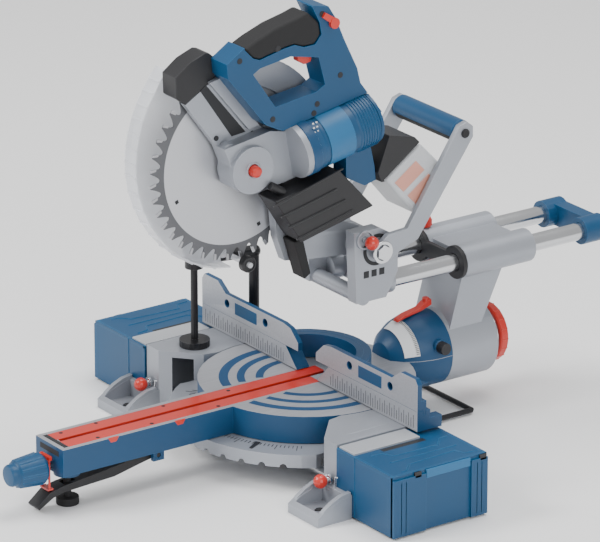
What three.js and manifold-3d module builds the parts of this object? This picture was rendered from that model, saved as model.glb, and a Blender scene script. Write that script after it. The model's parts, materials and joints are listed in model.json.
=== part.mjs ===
// A cordless sliding compound mitre saw on its table base, in millimetres, +Z up.
// The pieces are written in the table frame: the origin is on the turntable's axis at table
// height, +X is the user's right, +Y runs away from the user. The last group puts that frame
// on the floor with the middle of the whole saw over the origin.
import * as THREE from 'three';
import { mergeVertices } from 'three/addons/utils/BufferGeometryUtils.js';
import Module from 'manifold-3d';

const wasm = await Module();
wasm.setup();

// Driving dimensions
const GAP = 0.3; // clearance between pieces that touch
const TABLE_HEIGHT = 86; // floor to table top
const LENGTH_CENTRE_Y = -5.5; // middle of the saw's length in the table frame
const TABLE_RADIUS = 139;
const TABLE_DEPTH = 36; // turntable rim and arm height
const TABLE_SKIN = 9;
const ARM_HALF_WIDTH = 31;
const ARM_FRONT_Y = -388;
const RING_RADIUS = 176; // mitre scale ring
const TOWER_HALF_SPAN = 210; // outer faces of the base towers
const EXTENSION_END_X = 331;
const FENCE_END_X = 235;
const BEVEL_AXIS_Z = -1.6; // in the kerf plates, so that the kerf stays where it is
const KERF_HALF_WIDTH = 3.3;
const HUB_RADIUS = 50;
const HUB_JOINT_Y = 194; // where the bevel arm meets the turntable
const RAIL_X = 40;
const RAIL_Z = 122.5;
const RAIL_RADIUS = 11.5;
const PIVOT = { y: 65, z: 175 }; // head hinge
const BLADE = { y: -109, z: 309, radius: 127, thickness: 2, teeth: 40, bore: 15 };
const MOTOR = { x: 42, y: -31, z: 328, tilt: 11, length: 92, radius: 35 };
const ROD_Z = -66; // extension rods, below the turntable
const CLAMP_X = -167;

// Shape helpers
const vector = (x, y, z) => new THREE.Vector3(x, y, z);

function solid(geometry) {
  const bare = geometry.clone();
  bare.deleteAttribute('normal');
  bare.deleteAttribute('uv');
  const merged = mergeVertices(bare, 1e-3);
  const points = merged.attributes.position;
  const faces = [];
  let volume = 0;
  const [a, b, c] = [vector(), vector(), vector()];
  for (let i = 0; i < merged.index.count; i += 3) {
    const face = [0, 1, 2].map((k) => merged.index.getX(i + k));
    if (new Set(face).size < 3) continue;
    faces.push(face);
    a.fromBufferAttribute(points, face[0]);
    b.fromBufferAttribute(points, face[1]);
    c.fromBufferAttribute(points, face[2]);
    volume += a.dot(b.cross(c));
  }
  if (volume < 0) faces.forEach((face) => face.reverse());
  return new wasm.Manifold(new wasm.Mesh({
    numProp: 3,
    vertProperties: Float32Array.from(points.array),
    triVerts: Uint32Array.from(faces.flat()),
  }));
}

const join = (...pieces) => pieces.reduce((whole, piece) => whole.add(piece));
const cut = (piece, ...tools) => tools.reduce((rest, tool) => rest.subtract(tool), piece);

function block(x0, x1, y0, y1, z0, z1) {
  const geometry = new THREE.BoxGeometry(x1 - x0, y1 - y0, z1 - z0);
  return solid(geometry.translate((x0 + x1) / 2, (y0 + y1) / 2, (z0 + z1) / 2));
}

function extruded(outline, depth, xAxis, yAxis, start) {
  const shape = new THREE.Shape(outline.map(([u, v]) => new THREE.Vector2(u, v)));
  const geometry = new THREE.ExtrudeGeometry(shape, { depth, bevelEnabled: false });
  const normal = xAxis.clone().cross(yAxis);
  geometry.applyMatrix4(new THREE.Matrix4().makeBasis(xAxis, yAxis, normal).setPosition(start));
  return solid(geometry);
}

// Outlines of [y, z], [x, z] and [x, y] carried along the third axis
const alongX = (outline, x0, x1) =>
  extruded(outline, x1 - x0, vector(0, 1, 0), vector(0, 0, 1), vector(x0, 0, 0));
const alongY = (outline, y0, y1) =>
  extruded(outline, y1 - y0, vector(1, 0, 0), vector(0, 0, 1), vector(0, y1, 0));
const alongZ = (outline, z0, z1) =>
  extruded(outline, z1 - z0, vector(1, 0, 0), vector(0, 1, 0), vector(0, 0, z0));

function between(geometry, from, to) {
  const turn = new THREE.Quaternion().setFromUnitVectors(
    vector(0, 1, 0), to.clone().sub(from).normalize());
  geometry.applyMatrix4(new THREE.Matrix4().compose(from, turn, vector(1, 1, 1)));
  return solid(geometry);
}

// A round bar or cone from one point to another
function bar(from, to, radius, endRadius = radius, sides = 16) {
  const start = vector(...from);
  const end = vector(...to);
  const length = start.distanceTo(end);
  const geometry = new THREE.CylinderGeometry(endRadius, radius, length, sides);
  return between(geometry.translate(0, length / 2, 0), start, end);
}

// A turned piece: [radius, distance] pairs along the axis from one point towards another
function turned(profile, from, to, sides = 24) {
  const points = profile.map(([r, d]) => new THREE.Vector2(r, d));
  return between(new THREE.LatheGeometry(points, sides), vector(...from), vector(...to));
}

function ball(x, y, z, radius) {
  return solid(new THREE.SphereGeometry(radius, 12, 8).translate(x, y, z));
}

const disc = (x, y, z0, z1, radius, sides = 24) => bar([x, y, z0], [x, y, z1], radius, radius, sides);
const barX = (x0, x1, y, z, radius, sides) => bar([x0, y, z], [x1, y, z], radius, radius, sides);
const barY = (y0, y1, x, z, radius, sides) => bar([x, y0, z], [x, y1, z], radius, radius, sides);
const mirrored = (outline, side) => outline.map(([x, other]) => [side * x, other]);
const ordered = (a, b) => [Math.min(a, b), Math.max(a, b)];

function sideBlock(side, x0, x1, ...rest) {
  return block(...ordered(side * x0, side * x1), ...rest);
}

// A point on the motor's axis, so far along it and so far above it
function motorPoint(along, above = 0) {
  const tilt = THREE.MathUtils.degToRad(MOTOR.tilt);
  return [
    MOTOR.x,
    MOTOR.y + along * Math.cos(tilt) - above * Math.sin(tilt),
    MOTOR.z + along * Math.sin(tilt) + above * Math.cos(tilt),
  ];
}

const motorBar = (from, to, radius, sides = 24) =>
  bar(motorPoint(from), motorPoint(to), radius, radius, sides);

// [y, z] points about a centre, angles from +Y towards +Z in degrees
function circlePoint(centreY, centreZ, radius, degrees) {
  const angle = THREE.MathUtils.degToRad(degrees);
  return [centreY + radius * Math.cos(angle), centreZ + radius * Math.sin(angle)];
}

const bladePoint = (radius, degrees) => circlePoint(BLADE.y, BLADE.z, radius, degrees);

function arc(steps, from, to, pointAt) {
  return Array.from({ length: steps + 1 }, (_, i) => pointAt(from + (to - from) * i / steps));
}

const bladeArc = (radius, from, to, steps) =>
  arc(steps, from, to, (degrees) => bladePoint(radius, degrees));

const bladeRing = (x0, x1, outer, inner, sides = 24) =>
  cut(barX(x0, x1, BLADE.y, BLADE.z, outer, sides), barX(x0 - 1, x1 + 1, BLADE.y, BLADE.z, inner, 20));

// Base
const TOWER = [[138, -64], [183, -104], [210, -104], [210, 50], [132, 50], [126, 0]];
const FOOT = [[-158, -86], [-158, -74], [-146, -66], [-124, -58], [-106.4, -54], [-106.4, -86]];
const REAR_FOOT = [[49.5, -86], [49.5, -60], [70, -66], [85, -76], [85, -86]];
const ROD_Y = [-75, 10];
const TILT_BAR_X = 55;
const TILT_BAR_Z = -80;
const LOCK_AT = { x: 199, y: -107, z: -48 };

function baseTower(side) {
  const outer = alongZ(mirrored(TOWER, side), -80, 0);
  const foot = alongX(FOOT, ...ordered(side * 182, side * 245));
  const heel = sideBlock(side, 182, TOWER_HALF_SPAN, -107, -103, -86, -54);
  const pocket = sideBlock(side, 190, 238, -152, -112, -78, -40);
  const bolt = disc(side * 213, -135, -90, -70, 4.5, 16);
  const rearFoot = alongX(REAR_FOOT, ...ordered(side * 160, side * 205));
  const bores = ROD_Y.map((y) => bar([side * 120, y, ROD_Z], [side * 215, y, ROD_Z], 6 + GAP));
  const lockBore = barY(-110, -85, side * LOCK_AT.x, LOCK_AT.z, 3 + GAP, 12);
  return cut(join(outer, cut(foot, pocket, bolt), heel, rearFoot), ...bores, lockBore);
}

function mitreRing() {
  const flange = disc(0, 0, -44, -TABLE_DEPTH - 1, RING_RADIUS, 48);
  const wall = disc(0, 0, -54, -43, RING_RADIUS, 48);
  const inside = disc(0, 0, -60, -44, RING_RADIUS - 6, 48);
  const ring = cut(join(flange, wall), inside, disc(0, 0, -60, -30, 118, 48));
  const notches = Array.from({ length: 11 }, (_, i) => {
    const angle = THREE.MathUtils.degToRad(-90 + (i - 5) * 9);
    const [x, y] = [Math.cos(angle), Math.sin(angle)];
    return bar([x * 160, y * 160, -54], [x * 190, y * 190, -54], 5, 5, 8);
  });
  return cut(ring, block(-200, 200, 20, 200, -60, -30), ...notches);
}

function baseCasting() {
  const beam = block(-150, 150, -40, 50, -60, -TABLE_DEPTH - 1.5);
  const keepers = [-1, 1].map((side) => cut(
    sideBlock(side, TILT_BAR_X - 8, TILT_BAR_X + 8, 25, 50, -84.5, -59),
    barY(20, 60, side * TILT_BAR_X, TILT_BAR_Z, 3.5 + GAP, 16)));
  const whole = join(baseTower(-1), baseTower(1), mitreRing(), beam, ...keepers);
  const hollows = [-1, 1].map((side) => sideBlock(side, 148, 204, -92, 44, -90, -8));
  const well = disc(0, 0, -TABLE_DEPTH - 1, 10, TABLE_RADIUS + 2, 48);
  const pivotBore = disc(0, 0, -70, -30, 15 + GAP, 20);
  const clampBore = disc(CLAMP_X, 35, -20, 5, 7 + GAP, 20);
  return cut(whole, ...hollows, well, pivotBore, clampBore);
}

function extensionBox(side) {
  const shell = cut(
    sideBlock(side, 212, EXTENSION_END_X, -106, 37, -83, -3),
    sideBlock(side, 215.5, EXTENSION_END_X - 3.5, -102.5, 33.5, -84, -6.5));
  const bores = ROD_Y.map((y) => bar([side * 205, y, ROD_Z], [side * 220, y, ROD_Z], 6 + GAP));
  return cut(shell, ...bores);
}

function extensionRods(side) {
  const legs = ROD_Y.map((y) => bar([side * 95, y, ROD_Z], [side * 312, y, ROD_Z], 6, 6, 16));
  return join(...legs, barY(ROD_Y[0], ROD_Y[1], side * 312, ROD_Z, 6, 16));
}

function extensionLock(side) {
  const x = side * LOCK_AT.x;
  const stem = barY(LOCK_AT.y - 12, -74, x, LOCK_AT.z, 3, 12);
  const collar = barY(-80, -74, x, LOCK_AT.z, 4.6, 12);
  return join(ball(x, LOCK_AT.y - 14, LOCK_AT.z, 9), stem, collar);
}

function tiltBar() {
  const legs = [-1, 1].map((side) => barY(-25, 222, side * TILT_BAR_X, TILT_BAR_Z, 3.5, 12));
  return join(...legs, bar([-TILT_BAR_X, 222, TILT_BAR_Z], [TILT_BAR_X, 222, TILT_BAR_Z], 3.5, 3.5, 12));
}

// Fence
const FENCE_LOW = [[21, 0.3], [47, 27], [FENCE_END_X, 27], [FENCE_END_X, 0.3]];
const FENCE_HIGH = [
  [19.5, 27.3], [19.5, 38], [36, 53], [52, 56], [181, 56], [200, 69], [230, 69], [235, 62],
  [235, 27.3],
];

function fenceSide(side) {
  const body = alongY(mirrored(FENCE_LOW, side), 0, 20);
  const gusset = sideBlock(side, 222, FENCE_END_X, 19, 38, GAP, 16);
  const groove = sideBlock(side, 40, FENCE_END_X + 5, 9, 13, 21, 30);
  return cut(join(body, gusset), groove);
}

function fenceCasting() {
  const arch = cut(
    disc(0, 0, GAP, 33, 82, 48), disc(0, 0, -5, 45, 63, 48), block(-90, 90, -90, 14, -5, 50));
  return cut(join(fenceSide(-1), fenceSide(1), arch), disc(0, 0, -5, 1.2, TABLE_RADIUS + 1, 48));
}

function slidingFence(side) {
  const plate = alongY(mirrored(FENCE_HIGH, side), 0, 7);
  const rail = sideBlock(side, 40, FENCE_END_X, 6, 14, 27 + GAP, 40);
  const tongue = sideBlock(side, 45, FENCE_END_X, 9 + GAP, 13 - GAP, 21 + GAP, 30);
  const holes = [92, 178].map((x) => barY(-5, 12, side * x, 43.5, 5.5, 16));
  return cut(join(plate, rail, tongue), ...holes);
}

// Hold-down clamp
const CLAMP_SCREW = [-172, -55];

function clampPost() {
  const post = disc(CLAMP_X, 35, -60, 114, 7, 16);
  const arm = bar([CLAMP_X, 35, 112], [...CLAMP_SCREW, 118], 8, 8, 16);
  const boss = disc(...CLAMP_SCREW, 107, 127, 12, 20);
  const screwBore = disc(...CLAMP_SCREW, 90, 140, 4.8 + GAP, 16);
  return cut(join(post, ball(CLAMP_X, 35, 112, 9), arm, boss), screwBore);
}

function clampScrew() {
  const pad = disc(...CLAMP_SCREW, GAP, 9, 20, 20);
  const screw = disc(...CLAMP_SCREW, 8, 130, 4.8, 16);
  const knob = disc(...CLAMP_SCREW, 128.5, 146, 15, 12);
  return join(pad, screw, knob);
}

// Turntable
function turntable() {
  const plate = cut(
    disc(0, 0, -TABLE_DEPTH, 0, TABLE_RADIUS, 48),
    cut(disc(0, 0, -50, -TABLE_SKIN, TABLE_RADIUS - 8, 48), disc(0, 0, -60, 0, 30, 20)));
  const arm = cut(
    block(-ARM_HALF_WIDTH, ARM_HALF_WIDTH, ARM_FRONT_Y, -100, -TABLE_DEPTH, 0),
    block(-27, 27, ARM_FRONT_Y + 4, -95, -50, -TABLE_SKIN));
  const footBoss = join(
    block(-29, 29, -384.5, -343, -TABLE_DEPTH, -8),
    disc(0, -363, -46, -30, 17, 20));
  const leverEars = [-1, 1].map((side) => sideBlock(side, 14, 20, -248, -232, -52, -8));
  const pivot = disc(0, 0, -62, -20, 15, 20);
  const bridge = block(-36, 36, 105, 165, -TABLE_DEPTH, -4);
  const hub = turned(
    [[0, 0], [20, 2], [34, 14], [44, 32], [49, 50], [HUB_RADIUS, 60], [HUB_RADIUS, 79], [0, 79]],
    [0, 115, BEVEL_AXIS_Z], [0, HUB_JOINT_Y, BEVEL_AXIS_Z], 48);
  const whole = join(plate, arm, footBoss, ...leverEars, pivot, bridge, hub);
  return cut(
    whole,
    block(3, 24.8, -375.3, 3.3, -3.5, 5), block(-24.8, -3, -375.3, 30.3, -3.5, 5),
    block(-KERF_HALF_WIDTH, KERF_HALF_WIDTH, -374, 28, -22, 5),
    block(-8, 8, -340, -142, -50, -3.3), block(-8, 8, -142, 25, -22, -3.3), // for the tilted blade
    barY(-400, -330, 0, -30, 4 + GAP, 16),
    disc(0, -363, -50, -38, 5 + GAP, 16),
    barX(-25, 25, -240, -45, 3 + GAP, 12),
    barY(128, 200, 0, BEVEL_AXIS_Z, 8 + GAP, 20),
    barX(34, 60, 175, 16, 3 + GAP, 12));
}

const kerfPlate = (x0, x1, rear) => block(x0, x1, -375, rear, -3.2, 0);

function mitreKnob() {
  const shape = turned(
    [[0, 0], [12, 0], [14.5, 3], [17, 20], [20, 44], [19, 49.5], [0, 49.5]],
    [0, -449, -30], [0, -399, -30], 20);
  return cut(shape, barY(-415, -390, 0, -30, 4 + GAP, 16));
}

function detentLever() {
  const blade = alongX([
    [-414, -77], [-411, -81], [-390, -69], [-375, -65.5], [-300, -62], [-262, -54], [-236, -49],
    [-233, -42], [-240, -40], [-300, -49], [-375, -57], [-395, -61.5],
  ], -11, 11);
  return cut(join(blade, barX(-19, 19, -240, -45, 3, 12)), block(-6, 6, -372, -354, -90, -30));
}

function detentWire() {
  const posts = [-7.5, 7.5].map((x) => bar([x, -393.8, -59], [x, -393.8, -15], 1.5, 1.5, 8));
  return join(...posts, block(-11, 11, -396, -391.8, -19, -14), block(-9, 9, -397, -389, -59.3, -57));
}

function frontFoot() {
  return join(disc(0, -363, -TABLE_HEIGHT, -76, 14.5, 20), disc(0, -363, -77, -39, 5, 16));
}

// Bevel arm
const BEVEL_ARM = [
  [194.4, 0], [196, 25], [217, 100], [219, 120], [288, 120], [282, 100], [246, 24], [246, 0],
];

function bevelArm() {
  const hub = barY(HUB_JOINT_Y + 0.4, 268, 0, BEVEL_AXIS_Z, HUB_RADIUS, 48);
  const arm = alongX(BEVEL_ARM, -38, 38);
  const tubes = [-RAIL_X, RAIL_X].map((x) => barY(208, 318, x, RAIL_Z, 22, 20));
  const web = block(-RAIL_X, RAIL_X, 213, 313, 110, 135);
  const rails = [-RAIL_X, RAIL_X].map((x) => barY(200, 330, x, RAIL_Z, RAIL_RADIUS + GAP, 20));
  const bolt = barY(190, 280, 0, BEVEL_AXIS_Z, 8 + GAP, 20);
  const lockStem = disc(-RAIL_X, 216, 134, 150, 3 + GAP, 12);
  return cut(join(hub, arm, ...tubes, web), ...rails, bolt, lockStem);
}

function bevelPointer() {
  return alongX([[158, 48.4], [168, 57], [180, 60], [204, 59], [201.6, 49]], -5, 5);
}

const bevelStopKnob = () => join(barX(49.5, 62, 175, 16, 8, 16), barX(36, 50, 175, 16, 3, 12));

function bevelWheel() {
  const rim = cut(barY(281, 294, 0, BEVEL_AXIS_Z, 39, 24), barY(270, 300, 0, BEVEL_AXIS_Z, 30, 24));
  const spokes = [90, 210, 330].map((degrees) => {
    const angle = THREE.MathUtils.degToRad(degrees);
    const [x, z] = [33 * Math.cos(angle), BEVEL_AXIS_Z + 33 * Math.sin(angle)];
    return bar([0, 287, BEVEL_AXIS_Z], [x, 287, z], 5, 5, 12);
  });
  const centre = barY(279, 295, 0, BEVEL_AXIS_Z, 14, 20);
  return cut(join(rim, ...spokes, centre), barY(270, 300, 0, BEVEL_AXIS_Z, 8 + GAP, 20));
}

function bushingCap() {
  const rings = [-RAIL_X, RAIL_X].map((x) => barY(202, 207.7, x, RAIL_Z, 22, 20));
  const holes = [-RAIL_X, RAIL_X].map((x) => barY(195, 210, x, RAIL_Z, RAIL_RADIUS + GAP, 20));
  return cut(join(...rings, block(-RAIL_X, RAIL_X, 202, 207.7, 112, 133)), ...holes);
}

function slideLock() {
  return join(disc(-RAIL_X, 216, 145.5, 160, 7, 12), disc(-RAIL_X, 216, 135, 146, 3, 12));
}

// Carriage
const bothRails = (y0, y1, radius, sides) =>
  [-RAIL_X, RAIL_X].map((x) => barY(y0, y1, x, RAIL_Z, radius, sides));

function railEndCap() {
  const sockets = bothRails(405, 438, 18, 20);
  const grip = block(-RAIL_X, RAIL_X, 418, 438, 108, 137);
  return cut(join(...sockets, grip), ...bothRails(400, 412.3, RAIL_RADIUS + GAP, 20));
}

function carriageBracket() {
  const cheek = [[30, 203], [34, 108], [80, 108], [98, 140], [98, 186], [70, 203]];
  const cheeks = [-1, 1].map((side) => alongX(cheek, ...ordered(side * 42, side * 60)));
  const sockets = bothRails(60, 98, 17, 20);
  const web = block(-43, 43, 80, 98, 108, 137);
  const tube = barX(-58, 58, 47, 113, 10, 20);
  const pinHole = barX(-70, 70, PIVOT.y, PIVOT.z, 6 + GAP, 20);
  const lockHole = barX(35, 70, 46, 192, 4 + GAP, 16);
  const railBores = bothRails(83.7, 110, RAIL_RADIUS + GAP, 20);
  return cut(join(...cheeks, ...sockets, web, tube), ...railBores, pinHole, lockHole);
}

const lockPin = () => join(barX(43, 70, 46, 192, 4, 16), ball(76, 46, 192, 9));

// Head
const GEAR_CASE = [
  [-193, 403], [-148, 342], [-139, 320], [-136, 290], [-109, 279], [-80, 282], [-66, 281],
  [-38, 287], [-43, 345], [-79, 353], [-87, 359], [-146, 431],
];
const HEAD_ARM = [
  [-66, 268], [-32, 280], [20, 216], [60, 198], [82, 188], [86, 168], [65, 156], [40, 161],
  [-13, 166], [-48, 172], [-60, 205],
];
const HANDLE = [
  [-153, 438], [-155, 457], [-130, 473], [-111, 479], [-81, 490], [-50, 497], [-26, 509],
  [-3, 504], [8, 487], [21, 457], [41, 416], [46, 396], [79, 352], [60, 345], [-44, 345],
  [-81, 360], [-98, 369],
];
const HANDLE_OPENING = [
  [-116, 437], [-106, 443], [-60, 450], [-18, 441], [-8, 404], [-21, 397], [-83, 389],
];
const GRIP = [
  [-128, 471], [-116, 458], [-106, 454], [-70, 462], [-54, 464], [-40, 458.5], [-23, 459],
  [-14, 470], [-17, 486], [-34, 502], [-50, 497], [-81, 490], [-111, 479],
];
const HANDLE_X = [16, 50];

const pivotPin = () => join(
  barX(-73, 75, PIVOT.y, PIVOT.z, 6, 20), barX(72.3, 77, PIVOT.y, PIVOT.z, 10, 6));

function headArm() {
  const plate = alongX(HEAD_ARM, 5.8, 19.7);
  const barrel = barX(-41.5, 41.5, PIVOT.y, PIVOT.z, 20, 20);
  return cut(join(plate, barrel), barX(-60, 60, PIVOT.y, PIVOT.z, 6 + GAP, 20));
}

function gearCase() {
  const body = alongX(GEAR_CASE, 5.5, 15.5);
  const lower = alongX(GEAR_CASE.slice(1, 10), 5.5, 34);
  const boss = barX(5.5, 40, BLADE.y, BLADE.z, 30.7, 20);
  const collar = motorBar(-22, -GAP, MOTOR.radius + 1);
  const bladeSide = block(-10, 5.5, -300, 200, 200, 500);
  const shaftBore = motorBar(-20, 10, 6);
  const spindleBore = barX(0, 60, BLADE.y, BLADE.z, 8 + GAP, 20);
  return cut(join(body, lower, boss, collar), bladeSide, shaftBore, spindleBore);
}

function upperGuard() {
  const inner = BLADE.radius + 5.5;
  const sector = [...bladeArc(inner + 4, -50, 125, 20), ...bladeArc(inner, 125, -50, 20)];
  const rim = alongX(sector, -16, 5);
  const plate = alongX(
    [...bladeArc(inner + 4, -50, 125, 20), ...bladeArc(40, 125, -50, 14)], -16, -13);
  const boss = bladeRing(-43, -13, 44, 38, 24);
  const cheek = alongX([...bladeArc(inner + 4, -15, 84, 12), ...bladeArc(100, 84, -15, 12)], 3.7, 5);
  return join(rim, plate, boss, cheek);
}

// Outer edge of the lower guard: [degrees, radius] about the blade's axis. It leaves the blade
// towards its top end.
const GUARD_EDGE = [
  [124, 159], [136, 150], [150, 144], [165, 139], [180, 136], [200, 133], [220, 133], [240, 137],
  [255, 141], [272, 146],
];
const GUARD_TOP = GUARD_EDGE[0][0];
const GUARD_BOTTOM = GUARD_EDGE.at(-1)[0];

function guardEdge(inset) {
  const points = GUARD_EDGE.map(
    ([degrees, radius]) => new THREE.Vector2(...bladePoint(radius - inset, degrees)));
  return new THREE.SplineCurve(points).getPoints(30).map(({ x, y }) => [x, y]);
}

function lowerGuard() {
  const rim = alongX([...guardEdge(0), ...guardEdge(3).reverse()], -42, -18);
  const side = alongX([...guardEdge(0), ...bladeArc(52, GUARD_BOTTOM, GUARD_TOP, 16)], -42, -39.5);
  const hub = bladeRing(-42, -37, 54, 46 + GAP, 24);
  const pin = barX(-42, 19, -99, 176, 3.5, 12);
  const foot = alongX([[-112, 190], [-100, 205], [-88, 190], [-94, 170], [-104, 170]], -42, -37);
  return join(rim, side, hub, pin, foot);
}

const guardRoller = () => cut(
  barX(5.5, 17, -99, 176, 10.5, 20), barX(0, 30, -99, 176, 3.5 + GAP, 16));

function frontCap() {
  const outline = [
    [-207, 441], [-186, 456], [-163, 464.5], [-157, 463], [-143.5, 451], [-143.5, 434], [-193, 403.6],
    [-206, 414],
  ];
  const guardRoom = barX(-20, 5.8, BLADE.y, BLADE.z, BLADE.radius + 10.3, 48);
  return cut(alongX(outline, -14, 15.5), guardRoom);
}

function motorHousing() {
  const lug = alongX([[20, 312], [56, 320], [64, 285], [66, 266], [49, 262], [20, 278]], 28, 56);
  const tube = motorBar(0, MOTOR.length, MOTOR.radius);
  return cut(join(tube, lug), motorBar(-5, MOTOR.length + 5, MOTOR.radius - 4));
}

const motorEndPlate = () => motorBar(MOTOR.length + GAP, MOTOR.length + 5, MOTOR.radius - 1);

const motorRotor = () => join(motorBar(12, 76, 22), motorBar(-17, 88, 4, 16));

function handle() {
  const ring = cut(alongX(HANDLE, ...HANDLE_X), alongX(HANDLE_OPENING, 10, 60));
  const gripRoom = [
    [-130, 490], [-128.5, 470.7], ...GRIP.slice(1, 7).map(([y, z]) => [y, z - GAP]), [-13.6, 469.9],
    [-16.6, 486.1], [-34, 520],
  ];
  const triggerRoom = alongX([[-46, 440], [-46, 455], [-13, 455], [-13, 436]], 27, 39);
  const motorRoom = motorBar(-40, MOTOR.length + 6, MOTOR.radius + 1.4);
  return cut(ring, alongX(gripRoom, 10, 60), triggerRoom, motorRoom);
}

const grip = () => alongX(GRIP, ...HANDLE_X);

const trigger = () => alongX([[-42, 451], [-41, 437], [-31, 431], [-21, 433], [-17, 450]], 27.5, 38.5);

const lockOffLever = () => join(
  barX(50.3, 55, 4, 482, 7, 16), alongX([[2, 480], [-14, 492], [-10, 498], [9, 486]], 50.3, 54));

// Blade and arbor
function blade() {
  const root = BLADE.radius - 9;
  const pitch = 360 / BLADE.teeth;
  const outline = Array.from({ length: BLADE.teeth }, (_, i) => [
    bladePoint(root, i * pitch),
    bladePoint(BLADE.radius, (i + 0.3) * pitch),
    bladePoint(BLADE.radius, (i + 0.6) * pitch),
    bladePoint(BLADE.radius - 3, (i + 0.8) * pitch),
  ]).flat();
  const half = BLADE.thickness / 2;
  return cut(alongX(outline, -half, half), barX(-5, 5, BLADE.y, BLADE.z, BLADE.bore, 20));
}

const spindle = () => join(
  barX(-18, 30, BLADE.y, BLADE.z, 8, 20), barX(-1, 1, BLADE.y, BLADE.z, BLADE.bore - GAP, 20));
const innerFlange = () => bladeRing(1.5, 5.2, 25, 8 + GAP, 20);
const outerFlange = () => bladeRing(-5.5, -1.5, 25, 8 + GAP, 20);
const arborBolt = () => bladeRing(-12, -6, 14, 8 + GAP, 6);
const spindleButton = () => join(barX(34, 44, BLADE.y, BLADE.z, 7.5, 16), ball(44, BLADE.y, BLADE.z, 7.5));

// Chip collection
function chuteCover() {
  return alongX([[-90, 270], [-34, 281], [8, 291], [60, 234], [-50, 208]], 20, 60);
}

const chipDeflector = () => alongX([[-52, 205], [-36, 152], [-26, 158], [-38, 207]], 20, 46);

// Transport handle
const TRANSPORT_ARM = [
  [58, 165], [57, 182], [74, 196], [104, 198], [184, 318], [196, 322], [206, 314], [206, 300],
  [121, 181], [92, 170], [78, 162], [66, 160],
];

function transportArm(side) {
  const [x0, x1] = ordered(side * 64, side * 72);
  return cut(
    alongX(TRANSPORT_ARM, x0, x1),
    barX(x0 - 5, x1 + 5, PIVOT.y, PIVOT.z, 6 + GAP, 20));
}

const transportGrip = () => barX(-63.7, 63.7, 193, 307, 15, 20);

// Battery
const batteryDock = () => alongX([
  [66.5, 276], [72, 262.5], [78, 262.4], [76.5, 265], [131.5, 304], [124, 312], [84, 322],
], 2, 60);

const batteryPack = () => alongX([[79, 263], [133, 301.5], [181, 252], [125, 209]], -2, 60);

// Colours and finishes
const finish = (color, roughness, metalness) =>
  new THREE.MeshStandardMaterial({ color, roughness, metalness });
const FINISH = {
  blue: finish(0x00558a, 0.45, 0),
  casting: finish(0xb9bec8, 0.5, 0.6),
  steel: finish(0xc8ccd2, 0.25, 1),
  black: finish(0x232325, 0.6, 0),
  rubber: finish(0x1c1c1e, 0.9, 0),
  red: finish(0xd22b23, 0.4, 0),
  clear: finish(0xe8ecf0, 0.3, 0),
  blade: finish(0xb0b4ba, 0.35, 1),
  pack: finish(0xc9cdd2, 0.6, 0),
};

function piece(name, shape, material) {
  const mesh = shape.getMesh();
  const geometry = new THREE.BufferGeometry();
  geometry.setAttribute('position', new THREE.BufferAttribute(mesh.vertProperties, mesh.numProp));
  geometry.setIndex(new THREE.BufferAttribute(mesh.triVerts, 1));
  const made = new THREE.Mesh(geometry, material);
  made.name = name;
  return made;
}

const saw = new THREE.Group();
saw.position.set(0, -LENGTH_CENTRE_Y, TABLE_HEIGHT);
saw.add(
  piece('base_casting', baseCasting(), FINISH.casting),
  piece('tilt_bar', tiltBar(), FINISH.black),
  piece('fence_casting', fenceCasting(), FINISH.blue),
  piece('clamp_post', clampPost(), FINISH.black),
  piece('clamp_screw', clampScrew(), FINISH.black),
  piece('turntable', turntable(), FINISH.blue),
  piece('kerf_plate_left', kerfPlate(-24.5, -KERF_HALF_WIDTH, 30), FINISH.red),
  piece('kerf_plate_right', kerfPlate(KERF_HALF_WIDTH, 24.5, 3), FINISH.red),
  piece('mitre_lock_knob', mitreKnob(), FINISH.blue),
  piece('mitre_lock_rod', barY(-414.5, -182, 0, -30, 4, 16), FINISH.steel),
  piece('detent_lever', detentLever(), FINISH.black),
  piece('detent_wire', detentWire(), FINISH.red),
  piece('front_foot', frontFoot(), FINISH.rubber),
  piece('bevel_arm', bevelArm(), FINISH.casting),
  piece('bevel_bolt', barY(130, 301, 0, BEVEL_AXIS_Z, 8, 16), FINISH.steel),
  piece('bevel_pointer', bevelPointer(), FINISH.red),
  piece('bevel_stop_knob', bevelStopKnob(), FINISH.black),
  piece('bevel_lock_wheel', bevelWheel(), FINISH.red),
  piece('bushing_cap', bushingCap(), FINISH.black),
  piece('slide_lock_knob', slideLock(), FINISH.red),
  piece('rail_end_cap', railEndCap(), FINISH.blue),
  piece('carriage_bracket', carriageBracket(), FINISH.casting),
  piece('transport_lock_pin', lockPin(), FINISH.red),
  piece('head_pivot_pin', pivotPin(), FINISH.steel),
  piece('gear_case', gearCase(), FINISH.casting),
  piece('upper_guard', upperGuard(), FINISH.casting),
  piece('lower_guard', lowerGuard(), FINISH.clear),
  piece('guard_roller', guardRoller(), FINISH.black),
  piece('front_cap', frontCap(), FINISH.black),
  piece('head_arm', headArm(), FINISH.casting),
  piece('motor_housing', motorHousing(), FINISH.blue),
  piece('motor_end_plate', motorEndPlate(), FINISH.blue),
  piece('motor_rotor', motorRotor(), FINISH.steel),
  piece('handle', handle(), FINISH.blue),
  piece('grip', grip(), FINISH.rubber),
  piece('trigger', trigger(), FINISH.red),
  piece('lock_off_lever', lockOffLever(), FINISH.red),
  piece('blade', blade(), FINISH.blade),
  piece('spindle', spindle(), FINISH.steel),
  piece('inner_flange', innerFlange(), FINISH.steel),
  piece('outer_flange', outerFlange(), FINISH.steel),
  piece('arbor_bolt', arborBolt(), FINISH.steel),
  piece('spindle_lock_button', spindleButton(), FINISH.red),
  piece('chute_cover', chuteCover(), FINISH.black),
  piece('chip_deflector', chipDeflector(), FINISH.rubber),
  piece('transport_grip', transportGrip(), FINISH.blue),
  piece('battery_dock', batteryDock(), FINISH.black),
  piece('battery_pack', batteryPack(), FINISH.pack),
);
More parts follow.
